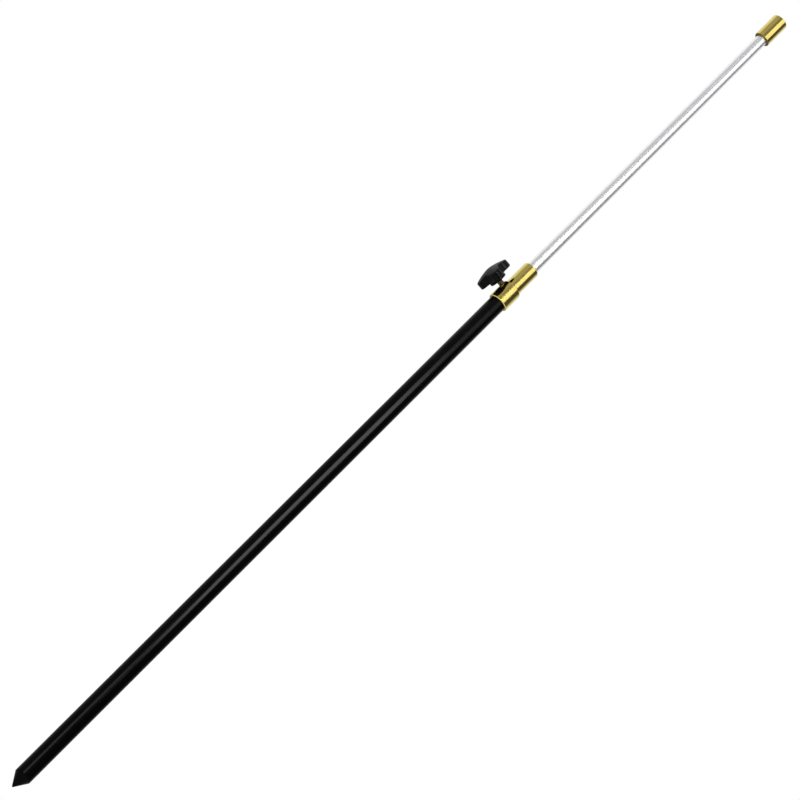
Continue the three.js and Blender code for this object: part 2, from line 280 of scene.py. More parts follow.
def black_powder_coat(name, base, roughness, gleam, scuff_top=None):
    """Black powder coat, baked on: nearly black, with the soft gloss and the faint orange peel of a coat
    that flowed out as it cured. A ground point is scuffed duller towards its tip."""
    material, tree = new_material(name)
    # Orange peel about 1.5 mm from hump to hump
    peel = add_node(tree, "ShaderNodeTexNoise", {
        "Vector": object_millimetres(tree), "Scale": 1 / 1.5, "Detail": 2.0, "Roughness": 0.45})
    # Thicker and thinner coat in clouds about 14 mm wide, drawn out four times along the tube
    cloud = add_node(tree, "ShaderNodeTexNoise", {
        "Vector": object_millimetres(tree, (1.0, 1.0, 0.25)), "Scale": 1 / 14, "Detail": 3.0})
    gloss = add_node(tree, "ShaderNodeMapRange", {
        "Value": cloud, "From Min": 0.3, "From Max": 0.7,
        "To Min": roughness - 0.02, "To Max": roughness + 0.04})
    thin = add_node(tree, "ShaderNodeMapRange", {
        "Value": cloud, "From Min": 0.35, "From Max": 0.8, "To Min": 0.0, "To Max": 0.3})
    tone = add_node(tree, "ShaderNodeMix", {
        "Factor": thin, COLOUR_A: toned(base), COLOUR_B: toned(base, 2.2)},
        data_type="RGBA").outputs[COLOUR_OUT]
    if scuff_top is not None:
        # Soil rubs the coat in short strokes about 2 mm apart
        strokes = add_node(tree, "ShaderNodeTexNoise", {
            "Vector": object_millimetres(tree, (1.0, 1.0, 0.35)), "Scale": 1 / 2, "Detail": 5.0})
        place = add_node(tree, "ShaderNodeSeparateXYZ", {"Vector": object_millimetres(tree)})
        low = add_node(tree, "ShaderNodeMapRange", {
            "Value": place.outputs["Z"], "From Min": scuff_top, "From Max": 0.0,
            "To Min": 0.0, "To Max": 1.0})
        wear = add_node(tree, "ShaderNodeMath", {
            0: low, 1: strokes}, operation="MULTIPLY")
        gloss = add_node(tree, "ShaderNodeMath", {
            0: wear, 1: 0.3, 2: gloss}, operation="MULTIPLY_ADD")
    bump = add_node(tree, "ShaderNodeBump", {
        "Height": peel, "Strength": 0.1, "Distance": 0.03 * MM})
    finish_surface(tree, add_node(tree, "ShaderNodeBsdfPrincipled", {
        "Base Color": tone, "Roughness": gloss, "Specular IOR Level": gleam, "Normal": bump}))
    return material


def bright_drawn_tube(name, base):
    """Aluminium tube, drawn through a die and polished: nearly white, with bright reflections that the
    hairlines of the die soften across the tube and draw out along it."""
    material, tree = new_material(name)
    # Real die lines are finer than 0.1 mm. These are 0.3 mm apart, so that they show, and 75 mm long
    lines = add_node(tree, "ShaderNodeTexNoise", {
        "Vector": object_millimetres(tree, (1.0, 1.0, 0.004)), "Scale": 1 / 0.3, "Detail": 2.0})
    # Handling marks about 11 mm wide, drawn out five times along the tube
    smears = add_node(tree, "ShaderNodeTexNoise", {
        "Vector": object_millimetres(tree, (1.0, 1.0, 0.2)), "Scale": 1 / 11, "Detail": 3.0})
    gloss = add_node(tree, "ShaderNodeMapRange", {
        "Value": lines, "From Min": 0.3, "From Max": 0.7, "To Min": 0.3, "To Max": 0.33})
    dull = add_node(tree, "ShaderNodeMapRange", {
        "Value": smears, "From Min": 0.4, "From Max": 0.8, "To Min": 0.0, "To Max": 0.2})
    tone = add_node(tree, "ShaderNodeMix", {
        "Factor": dull, COLOUR_A: toned(base), COLOUR_B: toned(base, 0.86)},
        data_type="RGBA").outputs[COLOUR_OUT]
    bump = add_node(tree, "ShaderNodeBump", {
        "Height": lines, "Strength": 0.012, "Distance": 0.003 * MM})
    finish_surface(tree, add_node(tree, "ShaderNodeBsdfPrincipled", {
        "Base Color": tone, "Metallic": 0.84, "Roughness": gloss, "Normal": bump}))
    return material


def moulded_plastic(name, base, roughness, grain):
    """Nylon, moulded in a spark-eroded die: black with a dry sheen that a fine, even grain breaks up, and
    slightly shinier where fingers rub it. The grain is given in millimetres."""
    material, tree = new_material(name)
    texture = add_node(tree, "ShaderNodeTexNoise", {
        "Vector": object_millimetres(tree), "Scale": 1 / grain, "Detail": 2.0, "Roughness": 0.5})
    # Rubbed places about 7 mm across
    rubbed = add_node(tree, "ShaderNodeTexNoise", {
        "Vector": object_millimetres(tree), "Scale": 1 / 7, "Detail": 2.0})
    sheen = add_node(tree, "ShaderNodeMapRange", {
        "Value": rubbed, "From Min": 0.35, "From Max": 0.7,
        "To Min": roughness + 0.06, "To Max": roughness - 0.06})
    tone = add_node(tree, "ShaderNodeMix", {
        "Factor": texture, COLOUR_A: toned(base, 0.8), COLOUR_B: toned(base, 1.3)},
        data_type="RGBA").outputs[COLOUR_OUT]
    bump = add_node(tree, "ShaderNodeBump", {
        "Height": texture, "Strength": 0.12, "Distance": 0.02 * MM})
    finish_surface(tree, add_node(tree, "ShaderNodeBsdfPrincipled", {
        "Base Color": tone, "Roughness": sheen, "Specular IOR Level": 0.08, "Normal": bump}))
    return material


# Shapes

def eased(corners, steps=5):
    """Turning profile of (radius, height) points in millimetres. A corner with a third number is rounded
    to that radius, and a ring close to each end of the rounding keeps the faces beside it flat."""
    points = [Vector(c[:2]) for c in corners]
    closed = points[0].x > 0
    profile = []
    for i, corner in enumerate(corners):
        ends = not closed and i in (0, len(corners) - 1)
        if len(corner) < 3 or ends:
            profile.append(points[i])
            continue
        here, ease = points[i], corner[2]
        back = points[i - 1] - here
        ahead = points[(i + 1) % len(points)] - here
        half = back.angle(ahead) / 2
        reach = ease / math.tan(half)
        middle = here + (back.normalized() + ahead.normalized()).normalized() * ease / math.sin(half)
        first, last = here + back.normalized() * reach, here + ahead.normalized() * reach
        hold = min(ease, (back.length - reach) / 3, (ahead.length - reach) / 3)
        profile.append(first + back.normalized() * hold)
        turn = (first - middle).angle_signed(last - middle)
        for step in range(steps + 1):
            angle = -turn * step / steps
            spoke = first - middle
            profile.append(middle + Vector((
                spoke.x * math.cos(angle) - spoke.y * math.sin(angle),
                spoke.x * math.sin(angle) + spoke.y * math.cos(angle))))
        profile.append(last + ahead.normalized() * hold)
    return profile


def ringed(bottom, top, radius, step):
    """Evenly spaced points up an upright wall, for a thread to be cut into."""
    count = max(2, round(abs(top - bottom) / step))
    return [Vector((radius, bottom + (top - bottom) * i / count)) for i in range(count + 1)]


def keep_edges(mesh, degrees=32):
    """Keeps a smooth mesh's edges hard where they turn by more than this."""
    mesh.set_sharp_from_angle(angle=math.radians(degrees))


def mesh_of(name, vertices, faces):
    """A smooth mesh in metres from points in millimetres, with its hard edges kept."""
    mesh = bpy.data.meshes.new(name)
    mesh.from_pydata([Vector(v) * MM for v in vertices], [], faces)
    mesh.validate()
    mesh.shade_smooth()
    keep_edges(mesh)
    return mesh


def turned(name, profile, segments=192):
    """Spins a profile round Z. The material lies on the left of the profile as it is walked."""
    vertices, rings, faces = [], [], []
    for point in profile:
        if point.x < ON_AXIS:
            rings.append([len(vertices)])
            vertices.append((0, 0, point.y))
            continue
        rings.append(list(range(len(vertices), len(vertices) + segments)))
        for i in range(segments):
            angle = math.tau * i / segments
            vertices.append((point.x * math.cos(angle), point.x * math.sin(angle), point.y))
    pairs = list(zip(rings, rings[1:]))
    if profile[0].x > ON_AXIS:
        pairs.append((rings[-1], rings[0]))
    for low, high in pairs:
        for i in range(segments):
            j = (i + 1) % segments
            if len(low) == 1 and len(high) > 1:
                faces.append((low[0], high[j], high[i]))
            elif len(high) == 1 and len(low) > 1:
                faces.append((low[i], low[j], high[0]))
            elif len(low) > 1:
                faces.append((low[i], low[j], high[j], high[i]))
    return mesh_of(name, vertices, faces)


def new_object(mesh):
    """Links a mesh into the scene as an object of the same name, at the origin."""
    thing = bpy.data.objects.new(mesh.name, mesh)
    bpy.context.scene.collection.objects.link(thing)
    return thing


def bake(thing):
    """Swaps an object's modifiers for the plain mesh that they make."""
    graph = bpy.context.evaluated_depsgraph_get()
    mesh = bpy.data.meshes.new_from_object(thing.evaluated_get(graph), depsgraph=graph)
    thing.modifiers.clear()
    old, thing.data = thing.data, mesh
    mesh.name = old.name
    bpy.data.meshes.remove(old)


def give_material(thing, material):
    """Gives a piece its one material."""
    thing.data.materials.clear()
    thing.data.materials.append(material)


def dress(thing, material, body, node):
    """Gives a finished piece its material and body, and hides the node that it stands for."""
    give_material(thing, material)
    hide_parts(node)
    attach(thing, body)


def extent(node):
    """Lowest and highest corner of a node, in millimetres."""
    low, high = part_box(node)
    return low / MM, high / MM


# Geometry Nodes

def tree_inputs(tree, specs):
    """Named inputs of a Geometry Nodes tree. Returns their identifiers by name."""
    made = {}
    for name, kind, default in specs:
        socket = tree.interface.new_socket(name=name, in_out="INPUT", socket_type=kind)
        if default is not None:
            socket.default_value = default
        made[name] = socket.identifier
    tree.interface.new_socket(name="Geometry", in_out="OUTPUT", socket_type="NodeSocketGeometry")
    return made


def end_tree(tree, geometry, material):
    """Ends a tree in real geometry with its material."""
    real = add_node(tree, "GeometryNodeRealizeInstances", {"Geometry": geometry})
    painted = add_node(tree, "GeometryNodeSetMaterial", {"Geometry": real, "Material": material})
    add_node(tree, "NodeGroupOutput", {0: painted})


def thread_tree(material):
    """Cuts a screw thread round Z into an upright round wall: each point of the wall moves in or out by
    a wave that climbs one pitch a turn, with flat crests and roots, and fades out at both ends."""
    tree = bpy.data.node_groups.new("thread_cut", "GeometryNodeTree")
    names = tree_inputs(tree, (
        ("Wall", "NodeSocketGeometry", None), ("Wall Radius", "NodeSocketFloat", 0.003),
        ("Pitch", "NodeSocketFloat", 0.001), ("Depth", "NodeSocketFloat", -0.0006),
        ("Start", "NodeSocketFloat", 0.0), ("End", "NodeSocketFloat", 0.01),
        ("Run Out", "NodeSocketFloat", 0.001)))
    given = add_node(tree, "NodeGroupInput").outputs
    place = add_node(tree, "GeometryNodeInputPosition")
    axes = add_node(tree, "ShaderNodeSeparateXYZ", {0: place}).outputs
    out = add_node(tree, "ShaderNodeCombineXYZ", {0: axes[0], 1: axes[1]})
    radius = add_node(tree, "ShaderNodeVectorMath", {0: out}, operation="LENGTH").outputs["Value"]
    outwards = add_node(tree, "ShaderNodeVectorMath", {0: out}, operation="NORMALIZE")
    # How far up its pitch a point lies: its height in pitches, less its bearing in turns
    bearing = add_node(tree, "ShaderNodeMath", {0: axes[1], 1: axes[0]}, operation="ARCTAN2")
    turn = add_node(tree, "ShaderNodeMath", {0: bearing, 1: math.tau}, operation="DIVIDE")
    pitches = add_node(tree, "ShaderNodeMath", {0: axes[2], 1: given["Pitch"]}, operation="DIVIDE")
    climb = add_node(tree, "ShaderNodeMath", {0: pitches, 1: turn}, operation="SUBTRACT")
    share = add_node(tree, "ShaderNodeMath", {0: climb}, operation="FRACT")
    swing = add_node(tree, "ShaderNodeMath", {0: share, 1: 2.0, 2: -1.0}, operation="MULTIPLY_ADD")
    flank = add_node(tree, "ShaderNodeMath", {0: swing}, operation="ABSOLUTE")
    # A crest is an eighth of the pitch wide and a root a quarter
    wave = add_node(tree, "ShaderNodeMapRange", {
        "Value": flank, "From Min": 0.125, "From Max": 0.75})
    above = add_node(tree, "ShaderNodeMath", {0: axes[2], 1: given["Start"]}, operation="SUBTRACT")
    low = add_node(tree, "ShaderNodeMapRange", {
        "Value": above, "From Min": 0.0, "From Max": given["Run Out"]})
    below = add_node(tree, "ShaderNodeMath", {0: given["End"], 1: axes[2]}, operation="SUBTRACT")
    high = add_node(tree, "ShaderNodeMapRange", {
        "Value": below, "From Min": 0.0, "From Max": given["Run Out"]})
    begun = add_node(tree, "ShaderNodeMath", {0: wave, 1: low}, operation="MULTIPLY")
    full = add_node(tree, "ShaderNodeMath", {0: high, 1: given["Depth"]}, operation="MULTIPLY")
    cut = add_node(tree, "ShaderNodeMath", {0: begun, 1: full}, operation="MULTIPLY")
    push = add_node(tree, "ShaderNodeVectorMath", {0: outwards, "Scale": cut}, operation="SCALE")
    on_wall = add_node(tree, "FunctionNodeCompare", {
        0: radius, 1: given["Wall Radius"], EPSILON: 0.01 * MM},
        data_type="FLOAT", operation="EQUAL")
    moved = add_node(tree, "GeometryNodeSetPosition", {
        "Geometry": given["Wall"], "Selection": on_wall, "Offset": push})
    end_tree(tree, moved, material)
    return tree, names


def lobe_tree(material):
    """Repeats one lobe's slice of the knob round its axis and welds the slices into one moulding."""
    tree = bpy.data.node_groups.new("lobes_round_axis", "GeometryNodeTree")
    names = tree_inputs(tree, (
        ("Slice", "NodeSocketGeometry", None), ("Count", "NodeSocketInt", 4),
        ("Weld Distance", "NodeSocketFloat", WELD)))
    given = add_node(tree, "NodeGroupInput").outputs
    line = add_node(tree, "GeometryNodeMeshLine", {"Count": given["Count"], "Offset": (0.0, 0.0, 0.0)})
    index = add_node(tree, "GeometryNodeInputIndex")
    step = add_node(tree, "ShaderNodeMath", {0: math.tau, 1: given["Count"]}, operation="DIVIDE")
    angle = add_node(tree, "ShaderNodeMath", {0: index, 1: step}, operation="MULTIPLY")
    turn = add_node(tree, "ShaderNodeCombineXYZ", {2: angle})
    around = add_node(tree, "FunctionNodeEulerToRotation", {0: turn})
    slices = add_node(tree, "GeometryNodeInstanceOnPoints", {
        "Points": line, "Instance": given["Slice"], "Rotation": around})
    real = add_node(tree, "GeometryNodeRealizeInstances", {"Geometry": slices})
    welded = add_node(tree, "GeometryNodeMergeByDistance", {
        "Geometry": real, "Distance": given["Weld Distance"]})
    end_tree(tree, welded, material)
    return tree, names


def run_tree(thing, tree, names, values):
    """Runs a tree on an object with its inputs set by identifier, and keeps the plain mesh."""
    modifier = thing.modifiers.new(tree.name, "NODES")
    modifier.node_group = tree
    for name, value in values.items():
        modifier[names[name]] = value
    bake(thing)


# Pieces

# Rings of points that a wall has in each pitch of the thread cut into it
THREAD_RINGS = 14
# Depth of a metric thread as a share of its pitch
THREAD_SHARE = 0.61


def along_screw(height):
    """Turns a piece made along Z to point along the clamp screw."""
    return Matrix.Translation((0, 0, height * MM)) @ Matrix.Rotation(math.radians(-90), 4, "Y")


class BANKSTICK_OT_ground_point(Operator):
    """Turn the ground point: a cone with a blunt nose and a grooved plug"""
    bl_idname = "bankstick.ground_point"
    bl_label = "Ground Point"

    def execute(self, context):
        sizes, finish = chosen(context)
        radius, _, top = extent("ground_point")[1]
        cone_top = extent("outer_tube")[0].z - sizes.butt_gap / MM
        plug, lead = radius - (sizes.tube_wall + sizes.press_gap) / MM, sizes.plug_lead / MM
        edge, nose, ease = sizes.tube_edge / MM, sizes.nose / MM, 0.1
        shoulder = cone_top - edge - sizes.shoulder / MM
        # The nose is an arc that runs into the side of the cone
        slope, steps = math.atan2(radius, shoulder), 8
        bearings = [(math.pi / 2 - slope) * i / steps - math.pi / 2 for i in range(steps + 1)]
        tip = [Vector((nose * math.cos(a), nose + nose * math.sin(a))) for a in bearings]
        tip[0].x = 0.0
        corners = [(radius, shoulder, sizes.shoulder_round / MM), (radius, cone_top - edge, ease),
                   (radius - edge, cone_top), (plug, cone_top)]
        depth, width = sizes.groove_depth / MM, sizes.groove_width / MM
        pitch = sizes.groove_pitch / MM
        for start in (cone_top + width, cone_top + width + pitch):
            corners += [(plug, start), (plug - depth, start + depth),
                        (plug - depth, start + width - depth), (plug, start + width)]
        corners += [(plug, top - lead), (plug - lead, top), (0, top)]
        profile = tip + eased([tuple(tip[-1])] + corners)[1:]
        dress(new_object(turned("turned_ground_point", profile)),
              black_powder_coat("black powder coat, scuffed at the point", finish.coat, 0.2, 0.05,
                                scuff_top=cone_top),
              "tube", "ground_point")
        return {"FINISHED"}


def cut_tube(name, node, wall, edge):
    """A length of round tube with its cut ends broken."""
    (_, _, bottom), (radius, _, top) = extent(node)
    bore = radius - wall
    return turned(name, eased([
        (bore, bottom, edge), (radius, bottom, edge), (radius, top, edge), (bore, top, edge)]))


class BANKSTICK_OT_outer_tube(Operator):
    """Cut the outer tube and coat it black"""
    bl_idname = "bankstick.outer_tube"
    bl_label = "Outer Tube"

    def execute(self, context):
        sizes, finish = chosen(context)
        mesh = cut_tube("coated_outer_tube", "outer_tube", sizes.tube_wall / MM, sizes.tube_edge / MM)
        dress(new_object(mesh),
              black_powder_coat("black powder coat", finish.coat, 0.15, 0.11),
              "tube", "outer_tube")
        return {"FINISHED"}


class BANKSTICK_OT_clamp_collar(Operator):
    """Turn the stepped clamp collar and bore its cross hole"""
    bl_idname = "bankstick.clamp_collar"
    bl_label = "Clamp Collar"

    def execute(self, context):
        sizes, finish = chosen(context)
        (_, _, bottom), (radius, _, top) = extent("clamp_collar")
        tube_top, screw = extent("outer_tube")[1], extent("clamp_screw")
        seat, seat_top = tube_top.x + sizes.press_gap / MM, tube_top.z + sizes.butt_gap / MM
        neck, step = sizes.neck_diameter / 2 / MM, top - sizes.neck_length / MM
        bore, mouth = extent("inner_rod")[1].x + sizes.running_gap / MM, sizes.bore_mouth / MM
        lip, nose = sizes.collar_lip / MM, sizes.collar_nose / MM
        shoulder = sizes.collar_shoulder / MM
        ease, root = sizes.broken_edge / MM, 0.2
        profile = eased([
            (seat, bottom), (radius - lip, bottom, ease), (radius, bottom + lip, ease),
            (radius, step - shoulder, ease), (radius - shoulder, step, ease), (neck, step, root),
            (neck, top - nose, ease), (neck - nose, top, ease), (bore + mouth, top, ease),
            (bore, top - mouth), (bore, seat_top), (seat, seat_top)])
        collar = new_object(turned("turned_clamp_collar", profile, segments=256))
        # The drill starts inside the bore, runs out past the collar and breaks the hole's outer edge
        hole, start, sink, past = (sizes.screw_diameter / 2 + sizes.press_gap) / MM, -1, 0.15, 3
        drill = turned("cross_drill", eased([
            (0, start), (hole, start), (hole, radius - sink), (hole + 2 * sink, radius + sink),
            (hole + 2 * sink, radius + past), (0, radius + past)]), segments=96)
        drill.transform(along_screw((screw[0].z + screw[1].z) / 2))
        cutter = new_object(drill)
        cut = collar.modifiers.new("cross_hole", "BOOLEAN")
        cut.object, cut.operation, cut.solver = cutter, "DIFFERENCE", "EXACT"
        bake(collar)
        bpy.data.objects.remove(cutter)
        keep_edges(collar.data)
        dress(collar, turned_brass("brass, turned and polished", finish.brass),
              "tube", "clamp_collar")
        return {"FINISHED"}


class BANKSTICK_OT_clamp_screw(Operator):
    """Turn the clamp screw and cut its thread"""
    bl_idname = "bankstick.clamp_screw"
    bl_label = "Clamp Screw"

    def execute(self, context):
        sizes, finish = chosen(context)
        (far, _, low), (near, _, high) = extent("clamp_screw")
        height, tip, end = (low + high) / 2, -near, -far
        radius, chamfer = sizes.screw_diameter / 2 / MM, sizes.screw_chamfer / MM
        head, edge = sizes.screw_head / 2 / MM, sizes.screw_head_edge / MM
        head_start = end - sizes.screw_head_length / MM
        profile = [Vector((0, tip)), Vector((radius - chamfer, tip))]
        profile += ringed(tip + chamfer, head_start, radius, sizes.screw_pitch / MM / THREAD_RINGS)
        profile += eased([(radius, head_start), (head - edge, head_start), (head, head_start + edge),
                          (head, end - edge), (head - edge, end)])[1:]
        profile.append(Vector((0, end)))
        # The thread has painted shade up to its root radius, fading out by its crest radius. Under the
        # head the shank stays plain for a short length
        root, crest, plain = radius - 0.6, radius - 0.15, 1.5
        material = turned_brass("brass stud, threaded", finish.stud, axis="X", offset=(0.0, 0.0, -height),
                                roughness=0.28, roots=(root, crest))
        tree, names = thread_tree(material)
        screw = new_object(turned("threaded_clamp_screw", profile, segments=96))
        run_tree(screw, tree, names, {
            "Wall Radius": sizes.screw_diameter / 2, "Pitch": sizes.screw_pitch,
            "Depth": -THREAD_SHARE * sizes.screw_pitch, "Start": tip * MM,
            "End": (head_start - plain) * MM, "Run Out": sizes.screw_pitch})
        keep_edges(screw.data, 50)
        screw.data.transform(along_screw(height))
        # The thread turns with the knob, one pitch a turn, so the whole screw rides on the knob's body
        dress(screw, material, "knob", "clamp_screw")
        return {"FINISHED"}


def lobe_outline(sizes, inset):
    """One lobe's slice of the knob's outline in millimetres, from recess to recess, moved inwards."""
    half = math.pi / sizes.lobes
    lobe = sizes.lobe_radius / MM
    waist = sizes.waist_radius / MM
    centre = sizes.knob_radius / MM - lobe
    # The recess is an arc that touches the lobes on both its sides and the waist at its bottom
    spread = 2 * centre * math.cos(half)
    recess = (lobe ** 2 - waist ** 2 - centre ** 2 + spread * waist) / (2 * waist - spread - 2 * lobe)
    reach = waist + recess
    joint = math.atan2(reach * math.sin(half), reach * math.cos(half) - centre)
    arm, lobe_steps, recess_steps = lobe - inset, 18, 10
    outline = [(centre + arm * math.cos(a), arm * math.sin(a))
               for a in (-joint + 2 * joint * i / lobe_steps for i in range(lobe_steps + 1))]
    hollow = []
    start, stop = joint + math.pi, half + math.pi
    for i in range(1, recess_steps + 1):
        angle = start + (stop - start) * i / recess_steps
        hollow.append((reach * math.cos(half) + (recess + inset) * math.cos(angle),
                       reach * math.sin(half) + (recess + inset) * math.sin(angle)))
    return [(x, -y) for x, y in reversed(hollow)] + outline + hollow


class BANKSTICK_OT_clamp_knob(Operator):
    """Mould the lobed clamp knob round the head of its screw"""
    bl_idname = "bankstick.clamp_knob"
    bl_label = "Clamp Knob"

    def execute(self, context):
        sizes, finish = chosen(context)
        (crown_top, _, low), (hub_face, _, high) = extent("clamp_knob")
        height, base, apex = (low + high) / 2, -hub_face, -crown_top
        screw_end = -extent("clamp_screw")[0].x
        gap, edge, fillet = sizes.press_gap / MM, sizes.knob_edge / MM, sizes.hub_fillet / MM
        under = base + sizes.hub_length / MM
        rim = under + sizes.rim_height / MM
        hub, crown, span = sizes.hub_diameter / 2 / MM, sizes.crown_height / MM, sizes.knob_radius / MM
        head, neck = sizes.screw_head / 2 / MM + gap, sizes.screw_diameter / 2 / MM + gap
        head_start = screw_end - sizes.screw_head_length / MM - gap
        rim_line = lobe_outline(sizes, edge)
        bearings = [math.atan2(y, x) for x, y in lobe_outline(sizes, 0)]
        # A rounding's rings, from one face to the next
        quarter = [math.radians(15 * i) for i in range(7)]
        # A ring this far from each edge keeps the face beside it flat
        face_hold, hub_hold, fillet_hold, rim_hold = 1.6 * edge, 1.3 * edge, 1.4 * fillet, 1.5 * edge

        def crown_level(x, y):
            """Height of the crown over a place."""
            return rim + crown * (1 - (math.hypot(x, y) / span) ** sizes.crown_curve)

        def hoop(radius, level):
            """A round ring with a point for each one of the lobed outline."""
            return [(radius * math.cos(a), radius * math.sin(a), level) for a in bearings]

        def under_rim(inset, level):
            """The lobed outline at one level."""
            return [(x, y, level) for x, y in lobe_outline(sizes, inset)]

        def over_rim(inset, drop):
            """The lobed outline at one depth below the crown."""
            return [(x, y, crown_level(x, y) - drop) for x, y in lobe_outline(sizes, inset)]

        # From the pocket round the screw's head, out along the neck and up the outside to the crown
        rings = [hoop(head, screw_end + gap), hoop(head, head_start), hoop(neck, head_start),
                 hoop(neck, base), hoop(hub - face_hold, base)]
        rings += [hoop(hub - edge + edge * math.sin(a), base + edge * (1 - math.cos(a))) for a in quarter]
        rings += [hoop(hub, base + hub_hold), hoop(hub, under - fillet_hold)]
        rings += [hoop(hub + fillet * (1 - math.cos(a)), under - fillet * (1 - math.sin(a)))
                  for a in quarter]
        rings.append(under_rim(rim_hold, under))
        rings += [under_rim(edge * (1 - math.sin(a)), under + edge * (1 - math.cos(a))) for a in quarter]
        rings += [under_rim(0, under + rim_hold), over_rim(0, rim_hold)]
        rings += [over_rim(edge * (1 - math.cos(a)), edge * (1 - math.sin(a))) for a in quarter]
        crown_rings = 30
        for share in (1 - i / crown_rings for i in range(1, crown_rings)):
            rings.append([(x * share, y * share, crown_level(x * share, y * share)) for x, y in rim_line])
        vertices = [point for ring in rings for point in ring]
        count = len(bearings)
        faces = [(r * count + i, r * count + i + 1, (r + 1) * count + i + 1, (r + 1) * count + i)
                 for r in range(len(rings) - 1) for i in range(count - 1)]
        roof, peak = len(vertices), len(vertices) + 1
        vertices += [(0, 0, screw_end + gap), (0, 0, apex)]
        last = (len(rings) - 1) * count
        faces += [(roof, i + 1, i) for i in range(count - 1)]
        faces += [(last + i, last + i + 1, peak) for i in range(count - 1)]
        material = moulded_plastic("glass-filled nylon, moulded", finish.knob, 0.22, 0.45)
        knob = new_object(mesh_of("moulded_clamp_knob", vertices, faces))
        tree, names = lobe_tree(material)
        run_tree(knob, tree, names, {"Count": sizes.lobes, "Weld Distance": WELD})
        keep_edges(knob.data, 40)
        knob.data.transform(along_screw(height) @ Matrix.Rotation(sizes.rest_turn, 4, "Z"))
        dress(knob, material, "knob", "clamp_knob")
        return {"FINISHED"}


class BANKSTICK_OT_inner_rod(Operator):
    """Draw the bright inner rod"""
    bl_idname = "bankstick.inner_rod"
    bl_label = "Inner Rod"

    def execute(self, context):
        sizes, finish = chosen(context)
        mesh = cut_tube("drawn_inner_rod", "inner_rod", sizes.rod_wall / MM, sizes.rod_edge / MM)
        dress(new_object(mesh),
              bright_drawn_tube("aluminium tube, drawn and polished", finish.rod),
              "rod", "inner_rod")
        return {"FINISHED"}


class BANKSTICK_OT_rod_guide(Operator):
    """Finish the guide on the rod's lower end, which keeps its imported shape"""
    bl_idname = "bankstick.rod_guide"
    bl_label = "Rod Guide"

    def execute(self, context):
        finish = chosen(context)[1]
        give_material(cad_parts["rod_guide"],
                      moulded_plastic("nylon, moulded", finish.guide, 0.55, 0.6))
        return {"FINISHED"}


class BANKSTICK_OT_top_socket(Operator):
    """Turn the top socket and cut its accessory thread"""
    bl_idname = "bankstick.top_socket"
    bl_label = "Top Socket"

    def execute(self, context):
        sizes, finish = chosen(context)
        (_, _, bottom), (radius, _, top) = extent("top_socket")
        rod_top = extent("inner_rod")[1]
        seat, seat_top = rod_top.x + sizes.press_gap / MM, rod_top.z + sizes.butt_gap / MM
        wall, floor = sizes.socket_thread / 2 / MM, top - sizes.socket_hole / MM
        edge, mouth, ease = sizes.socket_edge / MM, sizes.bore_mouth / MM, sizes.broken_edge / MM
        # Cone that the drill leaves under the hole, and the wall above it that stays without thread
        cone, plain = 2, 1
        outside = eased([
            (seat, seat_top), (seat, bottom), (radius - edge, bottom, ease),
            (radius, bottom + edge, ease), (radius, top - edge, ease), (radius - edge, top, ease),
            (wall + mouth, top, ease), (wall, top - mouth)])
        profile = [Vector((0, seat_top))] + outside[:-1]
        profile += ringed(top - mouth, floor, wall, sizes.socket_pitch / MM / THREAD_RINGS)
        profile.append(Vector((0, floor - cone)))
        # The painted shade on the lower end fades out where the chamfer ends
        material = turned_brass("brass, turned, polished and threaded", finish.brass,
                                shaded_end=(bottom + 0.7 * edge, bottom + 1.1 * edge))
        tree, names = thread_tree(material)
        socket = new_object(turned("threaded_top_socket", profile))
        run_tree(socket, tree, names, {
            "Wall Radius": sizes.socket_thread / 2, "Pitch": sizes.socket_pitch,
            "Depth": sizes.socket_cut, "Start": (floor + plain) * MM, "End": (top - mouth) * MM,
            "Run Out": 0.6 * sizes.socket_pitch})
        keep_edges(socket.data, 40)
        dress(socket, material, "rod", "top_socket")
        return {"FINISHED"}


# Studio

# Where the camera stands, in degrees and metres, and the angle at which the stick runs up the picture
CAMERA_AZIMUTH = -10.0
CAMERA_ELEVATION = -22.0
CAMERA_DISTANCE = 3.468
CAMERA_TARGET = Vector((-0.00019, 0.0, 0.4854))
STICK_TILT = 44.908
# Width of the camera's sensor in millimetres, and how far the camera sees in metres
SENSOR_WIDTH, CAMERA_SIGHT = 36.0, 50.0

# A light tent round the stick, which only shows in its gloss. Each pair is a bearing in degrees from the
# camera's side, anticlockwise from above, and how bright the cloth is there, where 1 is the white of the
# background
TENT = (
    (-180, 0.85), (-163, 0.45), (-150, 0.7), (-132, 1.15), (-112, 1.0), (-92, 0.68), (-76, 0.44),
    (-60, 0.42), (-47, 0.5), (-34, 0.38), (-18, 0.24), (-4, 0.22), (6, 0.12), (60, 0.08), (93, 0.08),
    (108, 0.35), (125, 0.85), (145, 1.0), (162, 0.5), (180, 0.85),
)
TENT_RADIUS = 1.3
TENT_BOTTOM = -1.0
TENT_TOP = 2.7
# The cloth has this share of its light up to the first height, and all of it from the second
TENT_SHADE, SHADE_TOP, LIGHT_FROM = 0.5, 0.95, 1.2

# Glowing cards just inside the tent, which also show only in the gloss: a soft box high on the right, for
# the bright stripe down the brass and the rod, and two strips whose sheen runs down the black tube. Each
# has its colour, its level and its course: degrees from the camera's side, height in metres and width in
# degrees
CARDS = {
    "soft_box": ("#f7f9ff", 1.42, ((25, 1.04, 42), (21, 1.2, 50), (29, 1.3, 56), (33, 2.4, 52))),
    "high_strip": ("#ffffff", 9.0, (
        (0, 0.57, 28), (-3, 0.65, 34), (-5, 0.73, 37), (-4, 0.81, 38), (3, 0.88, 42), (8, 0.95, 45),
        (12, 1.02, 44))),
    "low_strip": ("#ffffff", 2.6, ((-23, -0.2, 22), (-23, 0.54, 24))),
}
CARD_RADIUS = 0.96 * TENT_RADIUS

